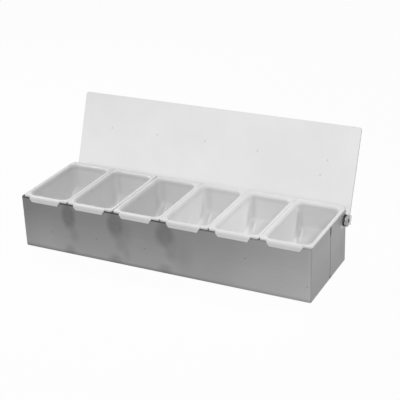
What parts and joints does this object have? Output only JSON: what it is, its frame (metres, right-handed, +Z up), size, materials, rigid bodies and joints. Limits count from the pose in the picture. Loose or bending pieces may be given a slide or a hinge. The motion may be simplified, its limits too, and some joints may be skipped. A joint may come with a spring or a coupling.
{
  "type": "bar garnish tray",
  "caption": "Long low steel tray with lift-out white tubs hung side by side on its top edge, and a clear flat lid that swings on a pivot at each end.",
  "frame": {"origin": "middle of the underside of the steel body", "axes": "+X along the length to the right end, -Y to the open front, +Z up"},
  "size_m": [0.5066, 0.2196, 0.1969],
  "materials": {
    "brushed_steel": "fine brushed stainless steel sheet",
    "white_plastic": "white moulded plastic, soft gloss",
    "clear_plastic": "clear sheet with a faint milky tint, glossy",
    "plated_steel": "bright plated steel fasteners",
    "black_plastic": "black nylon washers"
  },
  "bodies": {
    "tray": {"tray_body": "brushed_steel", "pivot_screw_left": "plated_steel", "pivot_washer_left": "black_plastic", "pivot_inner_washer_left": "plated_steel", "pivot_nut_left": "plated_steel", "pivot_screw_right": "plated_steel", "pivot_washer_right": "black_plastic", "pivot_inner_washer_right": "plated_steel", "pivot_nut_right": "plated_steel"},
    "lid": {"lid": "clear_plastic"},
    "insert_1": {"insert_1": "white_plastic"},
    "insert_2": {"insert_2": "white_plastic"},
    "insert_3": {"insert_3": "white_plastic"},
    "insert_4": {"insert_4": "white_plastic"},
    "insert_5": {"insert_5": "white_plastic"},
    "insert_6": {"insert_6": "white_plastic"}
  },
  "joints": [
    {"name": "lid_hinge", "type": "hinge", "parent": "tray", "child": "lid", "pos_m": [0, 0.0688, 0.071], "axis": [-1, 0, 0], "range_deg": [-111.3, 34.8]},
    {"name": "insert_1_lift", "type": "slide", "parent": "tray", "child": "insert_1", "axis": [0, 0, 1], "range_m": [0, 0.1]},
    {"name": "insert_2_lift", "type": "slide", "parent": "tray", "child": "insert_2", "axis": [0, 0, 1], "range_m": [0, 0.1]},
    {"name": "insert_3_lift", "type": "slide", "parent": "tray", "child": "insert_3", "axis": [0, 0, 1], "range_m": [0, 0.1]},
    {"name": "insert_4_lift", "type": "slide", "parent": "tray", "child": "insert_4", "axis": [0, 0, 1], "range_m": [0, 0.1]},
    {"name": "insert_5_lift", "type": "slide", "parent": "tray", "child": "insert_5", "axis": [0, 0, 1], "range_m": [0, 0.1]},
    {"name": "insert_6_lift", "type": "slide", "parent": "tray", "child": "insert_6", "axis": [0, 0, 1], "range_m": [0, 0.1]}
  ]
}
